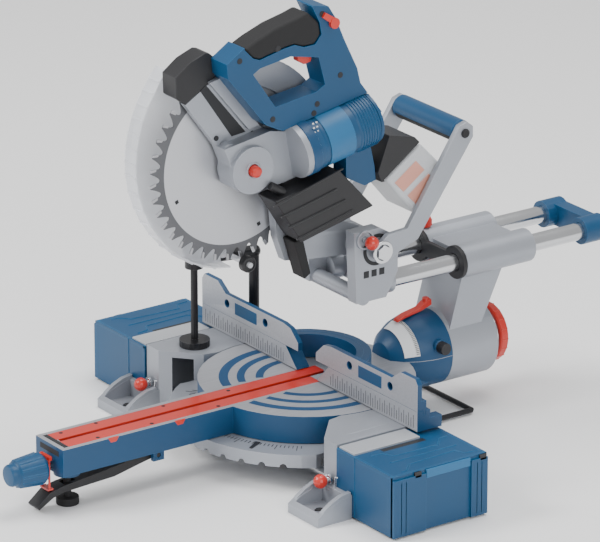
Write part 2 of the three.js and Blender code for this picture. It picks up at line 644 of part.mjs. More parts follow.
for (const [name, side] of [['left', -1], ['right', 1]]) {
  saw.add(
    piece(`extension_${name}`, extensionBox(side), FINISH.blue),
    piece(`extension_rods_${name}`, extensionRods(side), FINISH.steel),
    piece(`extension_lock_${name}`, extensionLock(side), FINISH.red),
    piece(`sliding_fence_${name}`, slidingFence(side), FINISH.casting),
    piece(`rail_${name}`, barY(84, 412, side * RAIL_X, RAIL_Z, RAIL_RADIUS, 20), FINISH.steel),
    piece(`transport_arm_${name}`, transportArm(side), FINISH.casting),
  );
}

export default saw;
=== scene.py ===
# %% [markdown]
# # A sliding compound mitre saw, from bare solids to a finished look
# The frame below is the engineering model of a cordless sliding mitre saw: every piece has its
# true size and rides on the body that moves it. Here each piece gets rounded edges, small fittings
# and a real finish. Nothing is moved, so the saw still tilts, swings, slides and plunges.

# %% Load the frame
import json
import math

import bmesh
import bpy
from mathutils import Matrix, Vector


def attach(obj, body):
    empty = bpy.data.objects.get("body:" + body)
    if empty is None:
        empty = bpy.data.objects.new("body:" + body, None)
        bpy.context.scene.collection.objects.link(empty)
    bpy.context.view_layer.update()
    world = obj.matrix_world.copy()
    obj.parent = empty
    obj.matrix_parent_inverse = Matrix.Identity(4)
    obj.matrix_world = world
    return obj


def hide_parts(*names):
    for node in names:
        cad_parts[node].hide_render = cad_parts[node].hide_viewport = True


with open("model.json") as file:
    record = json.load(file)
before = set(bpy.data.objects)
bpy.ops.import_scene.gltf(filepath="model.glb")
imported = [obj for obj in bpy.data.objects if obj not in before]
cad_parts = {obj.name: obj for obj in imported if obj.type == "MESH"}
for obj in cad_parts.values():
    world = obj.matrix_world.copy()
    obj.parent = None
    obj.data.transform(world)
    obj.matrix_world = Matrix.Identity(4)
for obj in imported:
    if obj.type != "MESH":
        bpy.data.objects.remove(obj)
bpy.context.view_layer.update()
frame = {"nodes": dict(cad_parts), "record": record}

# %% [markdown]
# ## Working in the maker's frame
# A saw is measured from its table: the turntable's axis is the origin, +X is the user's right and
# +Y runs away from the user. All shapes are written that way in millimetres, and one matrix carries
# a finished shape to the frame's metres.

# %% From table millimetres to frame metres
TABLE_HEIGHT = 86.0
LENGTH_OFFSET = 5.5
TO_FRAME = Matrix.Translation((0, LENGTH_OFFSET / 1000, TABLE_HEIGHT / 1000)) @ Matrix.Scale(0.001, 4)
BLADE_AXIS = (-109.0, 309.0)
print("table top at", TO_FRAME @ Vector((0, 0, 0)))

# %% [markdown]
# ## Camera, floor and light
# The camera stands a long way off with a long lens, in front and to the right of the saw and
# looking slightly down. Far away and narrow keeps upright edges upright, as on a catalogue page.

# %% Place the camera
CAMERA_TURN, CAMERA_RISE = 54.65, 20.3      # degrees round the saw and above the table
CAMERA_DISTANCE, CAMERA_LENS = 6.558, 310.08  # metres, millimetres
AIM_LIFT, AIM_LEFT = 0.1331142, 0.0086289    # metres from the table's axis to the middle of the view

def camera_at(turn, rise, distance, lens, aim):
    a, e = math.radians(turn), math.radians(rise)
    right = Vector((math.cos(a), math.sin(a), 0))
    up = Vector((-math.sin(a) * math.sin(e), math.cos(a) * math.sin(e), math.cos(e)))
    back = Vector((math.sin(a) * math.cos(e), -math.cos(a) * math.cos(e), math.sin(e)))
    data = bpy.data.cameras.new("studio_camera")
    data.sensor_width, data.lens = 36, lens
    made = bpy.data.objects.new("studio_camera", data)
    bpy.context.scene.collection.objects.link(made)
    place = aim + back * distance
    made.matrix_world = Matrix((
        (right.x, up.x, back.x, place.x), (right.y, up.y, back.y, place.y),
        (right.z, up.z, back.z, place.z), (0, 0, 0, 1)))
    bpy.context.scene.camera = made
    return right, up

table_axis = TO_FRAME @ Vector((0, 0, 0))
right, up = camera_at(CAMERA_TURN, CAMERA_RISE, CAMERA_DISTANCE, CAMERA_LENS, table_axis)
bpy.context.scene.camera.location += up * AIM_LIFT - right * AIM_LEFT
print("camera at", bpy.context.scene.camera.location)

# %% Pale floor and soft lights
def sheet_floor(size):
    bm = bmesh.new()
    bmesh.ops.create_grid(bm, x_segments=1, y_segments=1, size=size)
    mesh = bpy.data.meshes.new("studio_floor")
    bm.to_mesh(mesh)
    bm.free()
    made = bpy.data.objects.new("studio_floor", mesh)
    bpy.context.scene.collection.objects.link(made)
    paint = bpy.data.materials.new("floor_paint")
    paint.use_nodes = True
    shader = paint.node_tree.nodes["Principled BSDF"]
    shader.inputs["Base Color"].default_value = (0.97, 0.97, 0.97, 1)
    shader.inputs["Roughness"].default_value = 0.9
    mesh.materials.append(paint)
    return made

def softbox(name, place, aim, size, watts):
    data = bpy.data.lights.new(name, "AREA")
    data.shape, data.size, data.energy = "SQUARE", size, watts
    made = bpy.data.objects.new(name, data)
    bpy.context.scene.collection.objects.link(made)
    made.location = place
    made.rotation_euler = (Vector(aim) - Vector(place)).to_track_quat("-Z", "Y").to_euler()
    return made

sheet_floor(12)
softbox("key_light", (-1.2, -2.6, 2.6), (0, 0, 0.25), 1.3, 88)
softbox("fill_light", (3.2, -0.6, 1.6), (0, 0, 0.25), 1.8, 44)
softbox("top_light", (0.2, 0.6, 3.2), (0, 0, 0.2), 1.8, 66)
sky = bpy.data.worlds.new("studio_sky")
sky.use_nodes = True
sky.node_tree.nodes["Background"].inputs["Color"].default_value = (1, 1, 1, 1)
sky.node_tree.nodes["Background"].inputs["Strength"].default_value = 0.62
bpy.context.scene.world = sky
print("floor, three soft lights and a white sky")

# %% [markdown]
# ## Shared surface effects
# Three things repeat over most finishes: a fine grain that breaks up a casting or moulding, bright
# worn edges where paint rubs off, and slow smudges that change the gloss. Each is a node group with
# its own inputs, built once and placed in every material with that material's values.

# %% Group helper
def effect(name, inputs, outputs):
    tree = bpy.data.node_groups.new(name, "ShaderNodeTree")
    for label, kind, value in inputs:
        socket = tree.interface.new_socket(label, in_out="INPUT", socket_type="NodeSocket" + kind)
        socket.default_value = value
    for label, kind in outputs:
        tree.interface.new_socket(label, in_out="OUTPUT", socket_type="NodeSocket" + kind)
    return tree, tree.nodes.new("NodeGroupInput"), tree.nodes.new("NodeGroupOutput")

def math_node(tree, operation, first, second, clamp=False):
    node = tree.nodes.new("ShaderNodeMath")
    node.operation, node.use_clamp = operation, clamp
    for socket, value in zip(node.inputs, (first, second)):
        if isinstance(value, (int, float)):
            socket.default_value = value
        else:
            tree.links.new(value, socket)
    return node.outputs[0]

# %% Grain and smudges
def build_grain():
    tree, given, result = effect(
        "surface_grain",
        [("Scale", "Float", 900.0), ("Stretch", "Vector", (1.0, 1.0, 1.0)), ("Smudge", "Float", 6.0)],
        [("Height", "Float"), ("Patch", "Float")])
    place = tree.nodes.new("ShaderNodeTexCoord")
    stretch = tree.nodes.new("ShaderNodeVectorMath")
    stretch.operation = "MULTIPLY"
    tree.links.new(place.outputs["Object"], stretch.inputs[0])
    tree.links.new(given.outputs["Stretch"], stretch.inputs[1])
    fine = tree.nodes.new("ShaderNodeTexNoise")
    fine.inputs["Detail"].default_value = 3
    tree.links.new(stretch.outputs[0], fine.inputs["Vector"])
    tree.links.new(given.outputs["Scale"], fine.inputs["Scale"])
    slow = tree.nodes.new("ShaderNodeTexNoise")
    slow.inputs["Detail"].default_value = 4
    tree.links.new(place.outputs["Object"], slow.inputs["Vector"])
    tree.links.new(given.outputs["Smudge"], slow.inputs["Scale"])
    tree.links.new(fine.outputs["Fac"], result.inputs["Height"])
    tree.links.new(slow.outputs["Fac"], result.inputs["Patch"])
    return tree

GRAIN = build_grain()
print("grain group ready")

# %% Worn edges
def build_wear():
    tree, given, result = effect(
        "edge_wear", [("Width", "Float", 0.0015), ("Amount", "Float", 1.0)], [("Mask", "Float")])
    rounded = tree.nodes.new("ShaderNodeBevel")
    rounded.samples = 4
    tree.links.new(given.outputs["Width"], rounded.inputs["Radius"])
    flat = tree.nodes.new("ShaderNodeNewGeometry")
    agree = tree.nodes.new("ShaderNodeVectorMath")
    agree.operation = "DOT_PRODUCT"
    tree.links.new(rounded.outputs[0], agree.inputs[0])
    tree.links.new(flat.outputs["Normal"], agree.inputs[1])
    edge = math_node(tree, "SUBTRACT", 1.0, agree.outputs["Value"])
    strong = math_node(tree, "MULTIPLY", edge, 6.0, clamp=True)
    place = tree.nodes.new("ShaderNodeTexCoord")
    patchy = tree.nodes.new("ShaderNodeTexNoise")
    patchy.inputs["Scale"].default_value = 160
    tree.links.new(place.outputs["Object"], patchy.inputs["Vector"])
    broken = math_node(tree, "MULTIPLY", strong, patchy.outputs["Fac"])
    worn = math_node(tree, "MULTIPLY", broken, given.outputs["Amount"], clamp=True)
    tree.links.new(worn, result.inputs["Mask"])
    return tree

WEAR = build_wear()
print("edge wear group ready")

# %% [markdown]
# ## The finishes
# A finish is one Principled shader fed by the groups: the base colour drifts a little with the slow
# patches, turns to the worn colour along edges, and the grain makes a fine bump. Cast aluminium is
# coarse, moulded plastic is fine, and drawn steel is stretched along its length.

# %% Build a finish
def tint(colour, factor):
    return tuple(min(1.0, c * factor) for c in colour[:3]) + (1,)

def place_group(tree, group, **values):
    node = tree.nodes.new("ShaderNodeGroup")
    node.node_tree = group
    for label, value in values.items():
        node.inputs[label].default_value = value
    return node

def blend_colour(tree, factor, first, second):
    node = tree.nodes.new("ShaderNodeMix")
    node.data_type = "RGBA"
    colour_a = [s for s in node.inputs if s.name == "A" and s.type == "RGBA"][0]
    colour_b = [s for s in node.inputs if s.name == "B" and s.type == "RGBA"][0]
    for socket, value in ((node.inputs[0], factor), (colour_a, first), (colour_b, second)):
        if isinstance(value, (float, int, tuple)):
            socket.default_value = value
        else:
            tree.links.new(value, socket)
    return [s for s in node.outputs if s.type == "RGBA"][0]

def spread(tree, value, low, high):
    node = tree.nodes.new("ShaderNodeMapRange")
    node.inputs["From Min"].default_value, node.inputs["From Max"].default_value = 0.3, 0.7
    node.inputs["To Min"].default_value, node.inputs["To Max"].default_value = low, high
    tree.links.new(value, node.inputs["Value"])
    return node.outputs[0]

def finish(name, colour, rough, metal=0.0, scale=900.0, depth=0.15, stretch=(1, 1, 1),
           worn=None, wear=0.5, drift=0.08, coat=0.0, alpha=1.0, see_through=0.0):
    material = bpy.data.materials.new(name)
    material.use_nodes = True
    tree = material.node_tree
    shader = tree.nodes["Principled BSDF"]
    shader.inputs["Metallic"].default_value = metal
    shader.inputs["Coat Weight"].default_value = coat
    shader.inputs["Transmission Weight"].default_value = see_through
    shader.inputs["Alpha"].default_value = alpha
    grain = place_group(tree, GRAIN, Scale=scale, Stretch=stretch)
    body = blend_colour(tree, spread(tree, grain.outputs["Patch"], 0.0, 1.0),
                        tint(colour, 1 - drift), tint(colour, 1 + drift))
    mask = place_group(tree, WEAR, Amount=wear).outputs["Mask"]
    body = blend_colour(tree, mask, body, tint(worn or tint(colour, 1.6), 1))
    tree.links.new(body, shader.inputs["Base Color"])
    gloss = spread(tree, grain.outputs["Patch"], rough - 0.06, rough + 0.06)
    tree.links.new(gloss, shader.inputs["Roughness"])
    bump = tree.nodes.new("ShaderNodeBump")
    bump.inputs["Strength"].default_value = depth
    bump.inputs["Distance"].default_value = 0.0004
    tree.links.new(grain.outputs["Height"], bump.inputs["Height"])
    tree.links.new(bump.outputs["Normal"], shader.inputs["Normal"])
    return material

# %% The saw's finishes
BRIGHT = (0.62, 0.63, 0.66)
cast_silver = finish("cast_silver", (0.36, 0.38, 0.42), 0.4, 0.45, scale=1400, depth=0.25, worn=BRIGHT,
                     wear=0.5)
machined_face = finish("machined_face", (0.56, 0.58, 0.61), 0.36, 0.5, scale=500, depth=0.12,
                       stretch=(0.06, 1, 1), worn=BRIGHT)
painted_blue = finish("painted_blue", (0.0, 0.052, 0.14), 0.4, 0.0, scale=1200, depth=0.2,
                      worn=(0.02, 0.2, 0.42), wear=0.7)
moulded_blue = finish("moulded_blue", (0.0, 0.058, 0.15), 0.42, 0.0, scale=2200, depth=0.14,
                      worn=(0.02, 0.22, 0.45), wear=0.6)
groove_blue = finish("groove_blue", (0.0, 0.05, 0.14), 0.55, 0.0, scale=1500, depth=0.2,
                     worn=(0.0, 0.12, 0.3))
moulded_black = finish("moulded_black", (0.014, 0.014, 0.016), 0.48, 0.0, scale=2000, depth=0.2,
                       worn=(0.09, 0.09, 0.1), wear=0.7)
soft_rubber = finish("soft_rubber", (0.011, 0.011, 0.012), 0.75, 0.0, scale=2600, depth=0.3,
                     worn=(0.05, 0.05, 0.055), wear=0.5)
moulded_red = finish("moulded_red", (0.60, 0.028, 0.016), 0.32, 0.0, scale=2200, depth=0.08,
                     worn=(0.8, 0.12, 0.08), wear=0.6, coat=0.2)
black_steel = finish("black_steel", (0.016, 0.016, 0.018), 0.35, 0.4, scale=900, depth=0.1,
                     stretch=(1, 0.1, 1), worn=(0.2, 0.2, 0.22), wear=0.5)
bright_steel = finish("bright_steel", (0.66, 0.67, 0.69), 0.2, 1.0, scale=800, depth=0.06,
                      stretch=(1, 0.05, 1), worn=(0.8, 0.8, 0.82), wear=0.4)
# Near black for printed marks and dark screw heads, and also painted shade: dark sheets laid in holes, slots,
# windows and recesses
dark_marks_and_painted_shade = finish("dark_marks_and_painted_shade", (0.02, 0.021, 0.024), 0.7, 0.0, scale=900, depth=0.2,
                     worn=(0.04, 0.04, 0.045))
pale_blue = finish("pale_blue", (0.015, 0.13, 0.29), 0.45, 0.0, scale=2000, depth=0.1,
                   worn=(0.05, 0.25, 0.45))
pale_label = finish("pale_label", (0.78, 0.79, 0.8), 0.5, 0.0, scale=1800, depth=0.04, worn=(0.6, 0.6, 0.62))
print(len(bpy.data.materials), "finishes")

# %% [markdown]
# The turntable is one casting with two finishes: the top is milled bare and the rest is painted
# blue. The paint therefore asks the surface one question, how high it lies, and the answer picks
# the finish. The same question gives the fence its milled front.

# %% Milled faces on painted castings
def milled_casting(name, paint, axis, low, high):
    """Bare metal where the surface lies between two levels along an axis, paint elsewhere."""
    material = finish(name, paint, 0.42, 0.0, scale=1200, depth=0.2, worn=(0.02, 0.2, 0.42), wear=0.6)
    tree = material.node_tree
    shader = tree.nodes["Principled BSDF"]
    place = tree.nodes.new("ShaderNodeTexCoord")
    split = tree.nodes.new("ShaderNodeSeparateXYZ")
    tree.links.new(place.outputs["Object"], split.inputs[0])
    past = math_node(tree, "MULTIPLY", math_node(tree, "GREATER_THAN", split.outputs[axis], low),
                     math_node(tree, "LESS_THAN", split.outputs[axis], high))
    painted = shader.inputs["Base Color"].links[0].from_socket
    marks = place_group(tree, GRAIN, Scale=420.0, Stretch=(1.0, 0.08, 1.0))
    bare = blend_colour(tree, marks.outputs["Height"], (0.34, 0.35, 0.38, 1), (0.48, 0.49, 0.52, 1))
    tree.links.new(blend_colour(tree, past, painted, bare), shader.inputs["Base Color"])
    tree.links.new(math_node(tree, "MULTIPLY", past, 0.45), shader.inputs["Metallic"])
    return material

table_top = milled_casting("table_top", (0.0, 0.052, 0.14), "Z", 0.0857, 0.0863)
fence_front = milled_casting("fence_front", (0.0, 0.052, 0.14), "Y", 0.004, 0.0057)
print("milled table and fence finishes ready")

# %% [markdown]
# The blade is ground, so it shows fine circles round the arbor. It is pale in the middle, and a dark
# band under the teeth is the coating. Both follow the distance from the blade's own axis, so a
# Mapping node first moves the pattern's centre there.

# %% Blade steel
def blade_steel():
    material = bpy.data.materials.new("blade_steel")
    material.use_nodes = True
    tree = material.node_tree
    shader = tree.nodes["Principled BSDF"]
    place = tree.nodes.new("ShaderNodeTexCoord")
    centre = tree.nodes.new("ShaderNodeMapping")
    middle = TO_FRAME @ Vector((0, *BLADE_AXIS))
    centre.inputs["Location"].default_value = -middle
    tree.links.new(place.outputs["Object"], centre.inputs["Vector"])
    flat = tree.nodes.new("ShaderNodeVectorMath")
    flat.operation = "MULTIPLY"
    flat.inputs[1].default_value = (0, 1, 1)
    tree.links.new(centre.outputs[0], flat.inputs[0])
    length = tree.nodes.new("ShaderNodeVectorMath")
    length.operation = "LENGTH"
    tree.links.new(flat.outputs[0], length.inputs[0])
    radius = length.outputs["Value"]
    rings = tree.nodes.new("ShaderNodeTexNoise")
    rings.noise_dimensions = "1D"
    rings.inputs["Scale"].default_value = 2600
    rings.inputs["Detail"].default_value = 2
    tree.links.new(radius, rings.inputs["W"])
    coated = math_node(tree, "GREATER_THAN", radius, 0.1065)
    grain = place_group(tree, GRAIN, Scale=260.0, Smudge=14.0)
    ground = blend_colour(tree, rings.outputs["Fac"], (0.50, 0.51, 0.54, 1), (0.64, 0.65, 0.68, 1))
    dark = blend_colour(tree, grain.outputs["Patch"], (0.085, 0.087, 0.095, 1), (0.15, 0.153, 0.165, 1))
    tree.links.new(blend_colour(tree, coated, ground, dark), shader.inputs["Base Color"])
    tree.links.new(spread(tree, rings.outputs["Fac"], 0.34, 0.44), shader.inputs["Roughness"])
    tree.links.new(spread(tree, coated, 0.75, 0.35), shader.inputs["Metallic"])
    bump = tree.nodes.new("ShaderNodeBump")
    bump.inputs["Strength"].default_value = 0.05
    bump.inputs["Distance"].default_value = 0.0002
    tree.links.new(rings.outputs["Fac"], bump.inputs["Height"])
    tree.links.new(bump.outputs["Normal"], shader.inputs["Normal"])
    return material

saw_steel = blade_steel()
carbide = finish("carbide", (0.42, 0.42, 0.44), 0.3, 0.8, scale=2400, depth=0.1, worn=BRIGHT)
clear_guard = finish("clear_guard", (0.86, 0.88, 0.92), 0.3, 0.0, scale=700, depth=0.05,
                     worn=(0.95, 0.95, 0.97), wear=0.4, alpha=0.62)
pack_case = finish("pack_case", (0.60, 0.62, 0.65), 0.4, 0.0, scale=2000, depth=0.08,
                   worn=(0.85, 0.86, 0.88), alpha=0.72)
pack_panel = finish("pack_panel", (0.78, 0.36, 0.27), 0.4, 0.0, scale=2000, depth=0.08,
                    worn=(0.85, 0.5, 0.4), alpha=0.85)
print("blade, guard and pack finishes ready")

# %% [markdown]
# ## Hands and tools
# Every fitting below starts from one of four shapes: a block, a rod, an outline carried along an
# axis, or a profile spun round a line. `put` then rounds the edges, carries the shape to the frame
# and fixes it to the body it moves with.

# %% Four starting shapes
def block(bm, x0, x1, y0, y1, z0, z1):
    middle = Matrix.Translation(((x0 + x1) / 2, (y0 + y1) / 2, (z0 + z1) / 2))
    size = Matrix.Diagonal((x1 - x0, y1 - y0, z1 - z0, 1))
    return bmesh.ops.create_cube(bm, size=1, matrix=middle @ size)["verts"]

def rod(bm, start, end, radius, end_radius=None, sides=32):
    start, end = Vector(start), Vector(end)
    turn = (end - start).to_track_quat("Z", "Y").to_matrix().to_4x4()
    return bmesh.ops.create_cone(
        bm, cap_ends=True, segments=sides, radius1=radius,
        radius2=radius if end_radius is None else end_radius, depth=(end - start).length,
        matrix=Matrix.Translation((start + end) / 2) @ turn)["verts"]

def spot(axis, a, b, along):
    return {"X": (along, a, b), "Y": (a, along, b), "Z": (a, b, along)}[axis]

def slab(bm, outline, axis, start, end):
    corners = [bm.verts.new(spot(axis, a, b, start)) for a, b in outline]
    grown = bmesh.ops.extrude_face_region(bm, geom=[bm.faces.new(corners)])
    moved = [v for v in grown["geom"] if isinstance(v, bmesh.types.BMVert)]
    bmesh.ops.translate(bm, verts=moved, vec=spot(axis, 0, 0, end - start))
    return corners + moved

def turned(bm, profile, start, end, sides=48, closed=False):
    """[radius, distance] pairs spun about the line from start towards end."""
    start, end = Vector(start), Vector(end)
    axis = (end - start).normalized()
    out = axis.orthogonal().normalized()
    verts = [bm.verts.new(start + axis * d + out * r) for r, d in profile]
    links = list(zip(verts, verts[1:])) + ([(verts[-1], verts[0])] if closed else [])
    edges = [bm.edges.new(pair) for pair in links]
    spun = bmesh.ops.spin(bm, geom=verts + edges, cent=start, axis=axis, angle=math.tau,
                          steps=sides, use_merge=True)
    return spun

def polar(radius, degrees, centre=BLADE_AXIS):
    angle = math.radians(degrees)
    return (centre[0] + radius * math.cos(angle), centre[1] + radius * math.sin(angle))

def polar_arc(radius, first, last, steps, centre=BLADE_AXIS):
    return [polar(radius, first + (last - first) * i / steps, centre) for i in range(steps + 1)]

print("block, rod, slab and turned")

def put(bm, name, body, material, edge=0.5, replaces=(), rounds=2, angle=32):
    bmesh.ops.remove_doubles(bm, verts=bm.verts, dist=0.002)
    bmesh.ops.recalc_face_normals(bm, faces=bm.faces)
    bmesh.ops.transform(bm, matrix=TO_FRAME, verts=bm.verts)
    for face in bm.faces:
        face.smooth = True
    mesh = bpy.data.meshes.new(name)
    bm.to_mesh(mesh)
    bm.free()
    return settle(mesh, name, body, material, edge, replaces, rounds, angle)

def settle(mesh, name, body, material, edge, replaces, rounds, angle):
    mesh.materials.clear()
    mesh.materials.append(material)
    mesh.set_sharp_from_angle(angle=math.radians(angle))
    made = bpy.data.objects.new(name, mesh)
    bpy.context.scene.collection.objects.link(made)
    if edge:
        soft = made.modifiers.new("soft_edges", "BEVEL")
        soft.width, soft.segments = edge / 1000, rounds
        soft.limit_method, soft.angle_limit = "ANGLE", math.radians(angle)
        soft.harden_normals = True
        soft.use_clamp_overlap = True
    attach(made, body)
    if replaces:
        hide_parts(*replaces)
    return made

BODY_OF = {node: body for body, members in frame["record"]["behaviour"]["bodies"].items() for node in members}

def rounded_copy(node, material, edge=0.8, angle=32, rounds=2):
    """The node's own shape with its loose triangles merged and its edges rounded."""
    bm = bmesh.new()
    bm.from_mesh(frame["nodes"][node].data)
    bmesh.ops.remove_doubles(bm, verts=bm.verts, dist=0.00001)
    bmesh.ops.dissolve_limit(bm, angle_limit=math.radians(1.0), verts=bm.verts, edges=bm.edges)
    for face in bm.faces:
        face.smooth = True
    mesh = bpy.data.meshes.new(node + "_finished")
    bm.to_mesh(mesh)
    bm.free()
    return settle(mesh, node + "_finished", BODY_OF[node], material, edge, (node,), rounds, angle)

print("ready to shape pieces")

# %% [markdown]
# ## Castings and mouldings
# Most solids already have the right shape and only lack the small radii that a mould or a file
# leaves. A copy of each one gets its triangles merged into flat faces, so that a Bevel modifier
# finds the true edges, and then its finish.

# %% Round every solid that keeps its shape
CASTINGS = {
    "base_casting": 1.4, "bevel_arm": 2.0, "carriage_bracket": 1.5, "gear_case": 1.2, "upper_guard": 0.6,
    "head_arm": 1.2, "transport_arm_left": 1.0, "transport_arm_right": 1.0,
}
for node, edge in CASTINGS.items():
    rounded_copy(node, cast_silver, edge)
rounded_copy("fence_casting", fence_front, 0.8)
for node in ("sliding_fence_left", "sliding_fence_right"):
    rounded_copy(node, fence_front, 0.8)
rounded_copy("turntable", table_top, 0.9)
for node, edge in {"motor_end_plate": 0.8, "handle": 3.5, "rail_end_cap": 2.0}.items():
    rounded_copy(node, moulded_blue, edge, rounds=3)
for node, edge in {"detent_lever": 0.8, "bushing_cap": 0.5, "chute_cover": 1.6, "battery_dock": 1.6,
                   "bevel_stop_knob": 0.8, "front_cap": 1.4}.items():
    rounded_copy(node, moulded_black, edge)
for node, edge in {"grip": 4.0, "front_foot": 1.0, "chip_deflector": 2.0}.items():
    rounded_copy(node, soft_rubber, edge, rounds=3)
for node, edge in {"kerf_plate_left": 0.4, "kerf_plate_right": 0.4, "trigger": 1.6,
                   "lock_off_lever": 0.8}.items():
    rounded_copy(node, moulded_red, edge)

# %% [markdown]
# Rods, rails, screws and small steel pieces are already round and smooth, so the frame's own solids
# stay, and get ground or blackened steel; the detent wire gets red plastic.

# %% Steel that stays as it is
def dress(node, material):
    mesh = frame["nodes"][node].data
    mesh.materials.clear()
    mesh.materials.append(material)

KEPT = {
    bright_steel: ["extension_rods_left", "extension_rods_right", "bevel_bolt", "head_pivot_pin", "spindle",
                   "inner_flange", "outer_flange", "arbor_bolt", "mitre_lock_rod", "motor_rotor"],
    black_steel: ["tilt_bar", "clamp_post", "clamp_screw"],
    moulded_red: ["detent_wire"],
}
for material, nodes in KEPT.items():
    for node in nodes:
        dress(node, material)
print(sum(len(n) for n in KEPT.values()), "solids kept")

# %% [markdown]
# ## Blade
# The blade is a thin plate with forty teeth. Each tooth leans forward, has a rounded gullet behind
# it and carries a wider carbide tip brazed to its face. The plate is one outline carried across its
# thickness, and the tips are small slabs a little wider than the plate.

# %% Blade plate and carbide tips
TEETH = 40

def tooth_outline(i):
    pitch = 360 / TEETH
    a = i * pitch
    return [polar(113, a), polar(112, a + 0.14 * pitch), polar(114, a + 0.26 * pitch),
            polar(125.6, a + 0.34 * pitch), polar(126.2, a + 0.56 * pitch),
            polar(120, a + 0.72 * pitch), polar(116, a + 0.86 * pitch)]

bm = bmesh.new()
outline = [point for i in range(TEETH) for point in tooth_outline(i)]
slab(bm, outline, "X", -0.9, 0.9)
put(bm, "blade_plate", "blade", saw_steel, edge=0, replaces=("blade",))
bm = bmesh.new()
for i in range(TEETH):
    a = (i + 0.30) * 360 / TEETH
    slab(bm, [polar(118.5, a - 0.5), polar(126.9, a + 0.2), polar(126.4, a + 1.6), polar(119, a + 0.9)],
         "X", -1.2, 1.2)
put(bm, "carbide_tips", "blade", carbide, edge=0)
# Four thin dark sheets on the blade face are painted shade standing in for the open expansion slots
bm = bmesh.new()
for a in (20, 110, 200, 290):
    slab(bm, polar_arc(97, a, a + 3, 3) + polar_arc(92, a + 3, a, 3), "X", 0.85, 1.0)
put(bm, "blade_slot_painted_shade", "blade", dark_marks_and_painted_shade, edge=0)
print("blade with", TEETH, "tipped teeth")

# %% [markdown]
# ## Lower guard
# The lower guard is a clear moulded crescent that swings back over the blade as the head comes
# down. Its rim stands out across the blade and is ribbed, so that it stays stiff while thin.

# %% Lower guard
GUARD_EDGE = [(124, 159), (130, 154), (136, 150), (143, 147), (150, 144), (158, 141), (165, 139),
              (173, 137), (180, 136), (190, 134), (200, 133), (210, 132.6), (220, 133), (230, 134.8),
              (240, 137), (248, 139), (255, 141), (263, 143.4), (272, 146)]

def guard_line(inset):
    return [polar(radius - inset, degrees) for degrees, radius in GUARD_EDGE]

bm = bmesh.new()
slab(bm, guard_line(0) + guard_line(2.4)[::-1], "X", -42, -18)
slab(bm, guard_line(0.4) + polar_arc(54, 272, 124, 16), "X", -42, -39.8)
turned(bm, [(46.4, 0), (54, 0), (54, 5), (46.4, 5)], (-42, *BLADE_AXIS), (-37, *BLADE_AXIS), 48, closed=True)
for degrees, radius in GUARD_EDGE[1:-1]:
    slab(bm, [polar(radius + 1.2, degrees - 0.5), polar(radius + 1.2, degrees + 0.5),
              polar(radius - 1, degrees + 0.5), polar(radius - 1, degrees - 0.5)], "X", -41, -19)
slab(bm, [(-112, 190), (-100, 205), (-88, 190), (-94, 170), (-104, 170)], "X", -42, -37)
rod(bm, (-42, -99, 176), (19, -99, 176), 3.5)
put(bm, "lower_guard_shell", "lower_guard", clear_guard, edge=0.5, replaces=("lower_guard",))
print("clear lower guard with", len(GUARD_EDGE) - 2, "ribs")

# %% Guard roller with its screw
bm = bmesh.new()
turned(bm, [(3.9, 0), (8.4, 0), (10.5, 1.4), (10.5, 9.6), (9.6, 11), (8, 11), (8, 9.6), (3.9, 9.6)],
       (5.7, -99, 176), (17, -99, 176), 40, closed=True)
put(bm, "roller_wheel", "guard_roller", moulded_black, edge=0.3, replaces=("guard_roller",))

# %% [markdown]
# ## Rails and knobs
# The sliding rails are ground tubes, and every knob is a turned shape: a profile of radii and
# distances spun once round its shaft.

# %% Sliding rails
for name, x in (("rail_left", -40), ("rail_right", 40)):
    bm = bmesh.new()
    turned(bm, [(0, 0), (10.5, 0), (11.5, 1), (11.5, 327), (10.5, 328), (0, 328)],
           (x, 84, 122.5), (x, 412, 122.5), 48)
    put(bm, name + "_tube", "carriage", bright_steel, edge=0, replaces=(name,))

# %% Mitre lock knob
bm = bmesh.new()
turned(bm, [(4.3, 35), (4.3, 49.5), (17.5, 49.5), (20, 46), (20, 40), (18.6, 24), (17.6, 12), (15, 10.4),
            (14.2, 9.6), (14.2, 3.2), (12.8, 0.4), (11, 0), (0, 0), (0, 33.8)],
       (0, -449, -30), (0, -399, -30), 40)
for i in range(12):
    a = math.radians(i * 30)
    c, s = math.cos(a), math.sin(a)
    rod(bm, (17.0 * c, -437, -30 + 17.0 * s), (19.4 * c, -404, -30 + 19.4 * s), 1.5, 1.9, 10)
put(bm, "mitre_knob", "mitre_lock", moulded_blue, edge=0.4, replaces=("mitre_lock_knob",))

# %% Transport grip
bm = bmesh.new()
turned(bm, [(0, 0), (13.2, 0), (15, 1.8), (15, 125.6), (13.2, 127.4), (0, 127.4)],
       (-63.7, 193, 307), (63.7, 193, 307), 40)
put(bm, "transport_grip_blue", "head", moulded_blue, edge=0, replaces=("transport_grip",))
bm = bmesh.new()
lower = [polar(15.4, 200 + 14 * i, (193, 307)) for i in range(12)]
slab(bm, lower + [polar(14.2, 354 - 14 * i, (193, 307)) for i in range(12)], "X", -58, 58)
put(bm, "transport_grip_rubber", "head", soft_rubber, edge=0.3)
print("rails, knob and grip")

# %% Red ball knobs on steel stems
def ball_knob(name, node, body, stem, centre, radius, collar=None):
    bm = bmesh.new()
    bmesh.ops.create_uvsphere(bm, u_segments=14, v_segments=9, radius=radius,
                              matrix=Matrix.Translation(centre))
    put(bm, name, body, moulded_red, edge=0.5, rounds=2, angle=14, replaces=(node,))
    bm = bmesh.new()
    rod(bm, *stem)
    if collar:
        rod(bm, *collar)
    put(bm, name + "_stem", body, bright_steel, edge=0.3)

for side, node in ((-1, "extension_lock_left"), (1, "extension_lock_right")):
    x = side * 199
    ball_knob(node + "_ball", node, node, ((x, -119, -48), (x, -74, -48), 3), (x, -121, -48), 9,
              ((x, -110.5, -48), (x, -107.2, -48), 7))
ball_knob("carriage_pin_ball", "transport_lock_pin", "transport_lock_pin", ((41, 46, 192), (70, 46, 192), 4),
          (76, 46, 192), 9)
print("three ball knobs")

